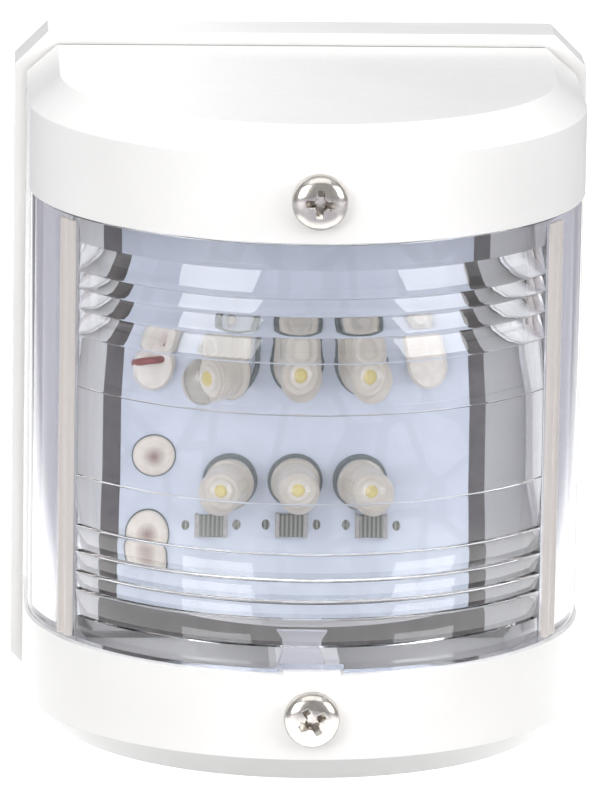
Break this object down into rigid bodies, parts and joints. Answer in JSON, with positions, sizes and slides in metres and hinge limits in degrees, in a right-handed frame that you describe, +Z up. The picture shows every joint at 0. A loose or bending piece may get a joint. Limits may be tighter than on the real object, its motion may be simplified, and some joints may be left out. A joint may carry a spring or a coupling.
{
  "type": "navigation light",
  "caption": "Upright wall-mounted boat navigation light: a white D-shaped housing round a clear ribbed lens, with round lamps on a board, on a cut-cornered back plate.",
  "frame": {"origin": "middle of the back plate's rear face, on the wall", "axes": "+Y into the wall, -Y the way the light looks, +Z up, +X to the right as seen from in front"},
  "size_m": [0.075, 0.0679, 0.088],
  "materials": {
    "white_plastic": "glossy moulded white ASA",
    "clear_polycarbonate": "clear polished moulding with frosted side rails",
    "black_rubber": "matt moulded rubber",
    "white_board": "white solder mask on glass laminate",
    "dark_fibre": "dark fibre sheet",
    "stainless_steel": "polished stainless steel",
    "brass": "turned brass",
    "lamp_epoxy": "clear epoxy over a yellow phosphor",
    "chip_body": "dark moulded chip body",
    "white_nylon": "moulded nylon",
    "solder": "dull solder",
    "red_wire": "red insulation",
    "black_wire": "black insulation"
  },
  "bodies": {
    "root": {"back_plate": "white_plastic", "housing_frame": "white_plastic", "housing_seal": "black_rubber", "lens": "clear_polycarbonate", "circuit_board": "white_board", "board_backing": "dark_fibre", "screw_upper": "stainless_steel", "screw_lower": "stainless_steel", "screw_ring_upper": "black_rubber", "screw_ring_lower": "black_rubber", "insert_upper": "brass", "insert_lower": "brass", "led_upper_left": "lamp_epoxy", "led_upper_middle": "lamp_epoxy", "led_upper_right": "lamp_epoxy", "led_lower_left": "lamp_epoxy", "led_lower_middle": "lamp_epoxy", "led_lower_right": "lamp_epoxy", "resistor_left": "chip_body", "resistor_middle": "chip_body", "resistor_right": "chip_body", "board_rivet_left": "white_nylon", "board_rivet_right": "white_nylon", "solder_joint_upper": "solder", "solder_joint_lower": "solder", "lead_red": "red_wire", "lead_black": "black_wire", "cable_grommet": "black_rubber", "polarity_diode": "chip_body"}
  },
  "joints": []
}
